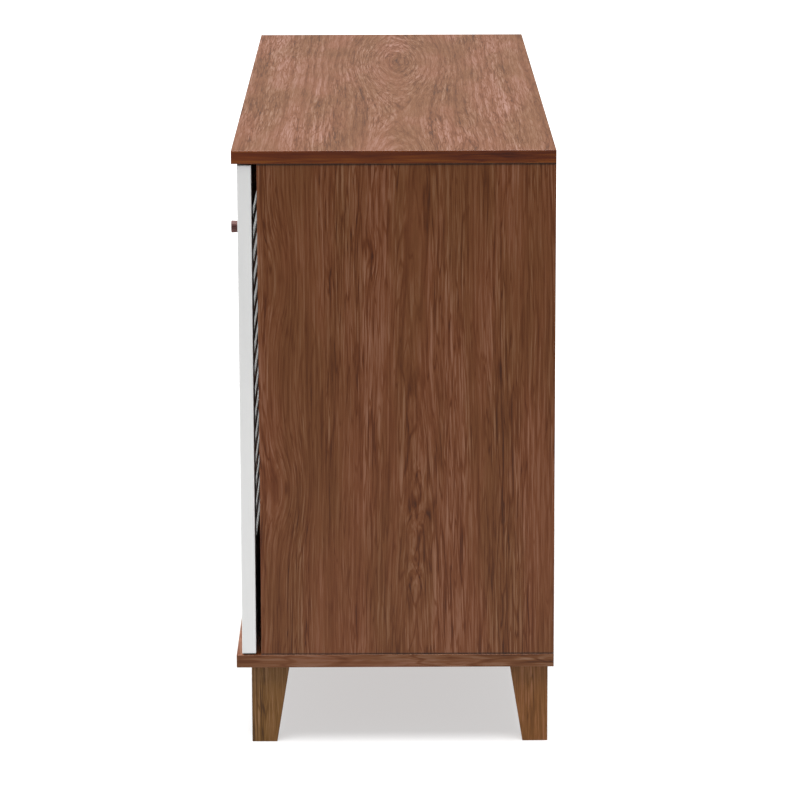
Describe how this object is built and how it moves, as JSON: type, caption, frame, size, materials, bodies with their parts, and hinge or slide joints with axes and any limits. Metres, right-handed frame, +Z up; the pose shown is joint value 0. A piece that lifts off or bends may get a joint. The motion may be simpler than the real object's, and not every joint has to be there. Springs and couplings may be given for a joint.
{
  "type": "shoe cabinet",
  "caption": "Low, long shoe cabinet in walnut-look boards on tapered legs, with white louvered doors that swing on pivot pins, small wooden knobs and shelves inside.",
  "frame": {"origin": "on the floor, under the middle of the whole cabinet's box, knobs included", "axes": "+Z up, +X to the right seen from the front, front faces -Y"},
  "size_m": [1.2, 0.405, 0.7385],
  "materials": {
    "walnut_board": "walnut grain laminate, satin",
    "walnut_leg": "walnut stained solid wood, satin",
    "back_board": "thin board with printed grain, matt",
    "door_white": "white paint, satin",
    "knob_walnut": "dark stained turned wood",
    "zinc_steel": "zinc plated",
    "cam_zinc": "die-cast, stands in for zinc",
    "insert_brass": "plain",
    "beech_dowel": "raw beech",
    "nylon_bush": "black nylon",
    "catch_plastic": "brown moulded plastic",
    "ferrite": "ferrite magnet"
  },
  "bodies": {
    "carcass": {"top_board": "walnut_board", "base_board": "walnut_board", "side_panel_left": "walnut_board", "side_panel_right": "walnut_board", "partition": "walnut_board", "back_panel": "back_board", "shelf_left_1": "walnut_board", "shelf_left_2": "walnut_board", "shelf_left_3": "walnut_board", "shelf_left_4": "walnut_board", "shelf_right_1": "walnut_board", "shelf_right_2": "walnut_board", "shelf_right_3": "walnut_board", "shelf_right_4": "walnut_board", "shelf_pegs": "zinc_steel", "leg_front_left": "walnut_leg", "leg_front_right": "walnut_leg", "leg_rear_left": "walnut_leg", "leg_rear_right": "walnut_leg", "leg_inserts": "insert_brass", "leg_bolts": "zinc_steel", "leg_dowels": "beech_dowel", "cam_locks": "cam_zinc", "cam_bolts": "zinc_steel", "panel_dowels": "beech_dowel", "pivot_bushes": "nylon_bush", "catch_housings": "catch_plastic", "catch_magnets": "ferrite", "catch_screws": "zinc_steel"},
    "right_door": {"right_pivot_stile": "door_white", "right_knob_stile": "door_white", "right_rail_top": "door_white", "right_rail_bottom": "door_white", "right_louvers": "door_white", "right_knob": "knob_walnut", "right_knob_screw": "zinc_steel", "right_pivot_pins": "zinc_steel", "right_strike_plate": "zinc_steel", "right_strike_screw": "zinc_steel"},
    "middle_door": {"middle_pivot_stile": "door_white", "middle_knob_stile": "door_white", "middle_rail_top": "door_white", "middle_rail_bottom": "door_white", "middle_louvers": "door_white", "middle_knob": "knob_walnut", "middle_knob_screw": "zinc_steel", "middle_pivot_pins": "zinc_steel", "middle_strike_plate": "zinc_steel", "middle_strike_screw": "zinc_steel"},
    "left_door": {"left_pivot_stile": "door_white", "left_knob_stile": "door_white", "left_rail_top": "door_white", "left_rail_bottom": "door_white", "left_louvers": "door_white", "left_knob": "knob_walnut", "left_knob_screw": "zinc_steel", "left_pivot_pins": "zinc_steel", "left_strike_plate": "zinc_steel", "left_strike_screw": "zinc_steel"}
  },
  "joints": [
    {"name": "right_door_hinge", "type": "hinge", "parent": "carcass", "child": "right_door", "pos_m": [0.5885, -0.172, 0.42], "axis": [0, 0, 1], "range_deg": [0, 105]},
    {"name": "middle_door_hinge", "type": "hinge", "parent": "carcass", "child": "middle_door", "pos_m": [0.1885, -0.172, 0.42], "axis": [0, 0, 1], "range_deg": [0, 105]},
    {"name": "left_door_hinge", "type": "hinge", "parent": "carcass", "child": "left_door", "pos_m": [-0.5885, -0.172, 0.42], "axis": [0, 0, 1], "range_deg": [-105, 0]}
  ]
}
